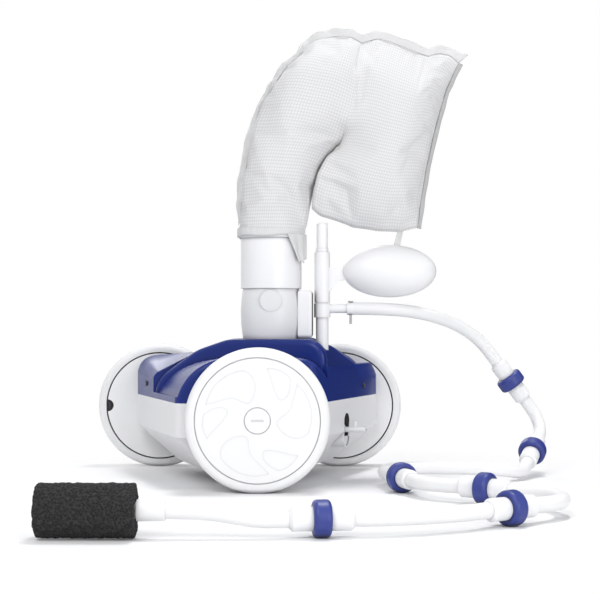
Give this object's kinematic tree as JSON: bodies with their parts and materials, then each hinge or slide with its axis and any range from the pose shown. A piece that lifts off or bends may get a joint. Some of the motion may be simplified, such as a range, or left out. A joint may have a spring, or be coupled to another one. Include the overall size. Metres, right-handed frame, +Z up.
{
  "type": "pool cleaner",
  "caption": "Pressure-side swimming pool cleaner on three geared wheels, with a turbine drive, vacuum tube and mesh bag, feed mast, head float, thrust jet and a sweep hose tail.",
  "frame": {"origin": "on the floor under the middle of the machine's box without the sweep hose", "axes": "+X to the rear, where the float and hose are, +Y to the side with two wheels, +Z up"},
  "size_m": [0.6376, 0.7656, 0.606],
  "materials": {
    "white_plastic": "moulded, glossy",
    "body_plastic": "moulded, satin",
    "frame_plastic": "moulded, satin",
    "blue_cover": "translucent, glossy",
    "steel": "stainless",
    "tyre_rubber": "matt white rubber",
    "hose_rubber": "satin vinyl",
    "ring_rubber": "satin",
    "foam": "open-cell foam",
    "bag_mesh": "fine square mesh"
  },
  "bodies": {
    "chassis": {"base_tub": "body_plastic", "top_cover": "blue_cover", "single_side_frame": "frame_plastic", "double_side_frame": "frame_plastic", "single_axle": "steel", "front_axle": "steel", "rear_axle": "steel", "axle_screws": "steel", "frame_screws": "steel", "cover_screws": "steel", "vacuum_tube": "white_plastic", "jet_ring": "body_plastic", "manifold": "white_plastic", "feed_mast": "white_plastic", "feed_nipple": "white_plastic", "feed_elbow": "white_plastic", "float_bracket": "white_plastic", "head_float": "white_plastic", "sweep_nozzle": "white_plastic", "turbine_housing": "body_plastic", "turbine_cover": "body_plastic", "shaft_bushes": "body_plastic", "jet_housing": "body_plastic", "hose_1": "hose_rubber", "hose_2": "hose_rubber", "hose_3": "hose_rubber", "hose_4": "hose_rubber", "hose_5": "hose_rubber", "hose_6": "hose_rubber", "hose_7": "hose_rubber", "hose_joiner_1": "white_plastic", "hose_joiner_2": "white_plastic", "hose_joiner_3": "white_plastic", "hose_joiner_4": "white_plastic", "hose_joiner_5": "white_plastic", "hose_joiner_6": "white_plastic", "wear_rings": "ring_rubber", "tail_cuff": "white_plastic", "foam_scrubber": "foam"},
    "single_wheel": {"single_tyre": "tyre_rubber", "single_wheel_disc": "white_plastic", "single_bearing": "steel", "single_hub_cap": "white_plastic"},
    "front_wheel": {"front_tyre": "tyre_rubber", "front_wheel_disc": "white_plastic", "front_bearing": "steel", "front_hub_cap": "white_plastic"},
    "rear_wheel": {"rear_tyre": "tyre_rubber", "rear_wheel_disc": "white_plastic", "rear_bearing": "steel", "rear_hub_cap": "white_plastic"},
    "turbine": {"turbine_wheel": "white_plastic", "drive_shaft": "steel", "single_pinion": "white_plastic", "rear_pinion": "white_plastic"},
    "thrust_nozzle": {"thrust_jet": "white_plastic"},
    "adjuster": {"sweep_adjuster": "white_plastic"},
    "bag_assembly": {"bag_collar": "white_plastic", "bag": "bag_mesh", "bag_strap": "bag_mesh"}
  },
  "joints": [
    {"name": "single_wheel_spin", "type": "hinge", "parent": "chassis", "child": "single_wheel", "pos_m": [-0.019, -0.167, 0.089], "axis": [0, 1, 0], "continuous": true},
    {"name": "rear_wheel_spin", "type": "hinge", "parent": "chassis", "child": "rear_wheel", "pos_m": [0.091, 0.167, 0.089], "axis": [0, 1, 0], "continuous": true},
    {"name": "turbine_spin", "type": "hinge", "parent": "chassis", "child": "turbine", "pos_m": [0.036, 0, 0.089], "axis": [0, 1, 0], "continuous": true},
    {"name": "front_wheel_spin", "type": "hinge", "parent": "chassis", "child": "front_wheel", "pos_m": [-0.171, 0.167, 0.089], "axis": [0, 1, 0], "continuous": true},
    {"name": "thrust_jet_tilt", "type": "hinge", "parent": "chassis", "child": "thrust_nozzle", "pos_m": [0.08538, -0.01129, 0.066], "axis": [0.3313, 0.9435, 0], "range_deg": [-18, 18]},
    {"name": "sweep_adjust", "type": "hinge", "parent": "chassis", "child": "adjuster", "pos_m": [0.1015, 0, 0.228], "axis": [0, 0, 1], "range_deg": [0, 90]},
    {"name": "bag_lift", "type": "slide", "parent": "chassis", "child": "bag_assembly", "axis": [0, 0, 1], "range_m": [0, 0.12]}
  ],
  "couplings": [
    {"joint": "rear_wheel_spin", "follows": "single_wheel_spin", "ratio": 1},
    {"joint": "turbine_spin", "follows": "single_wheel_spin", "ratio": 6.5}
  ]
}
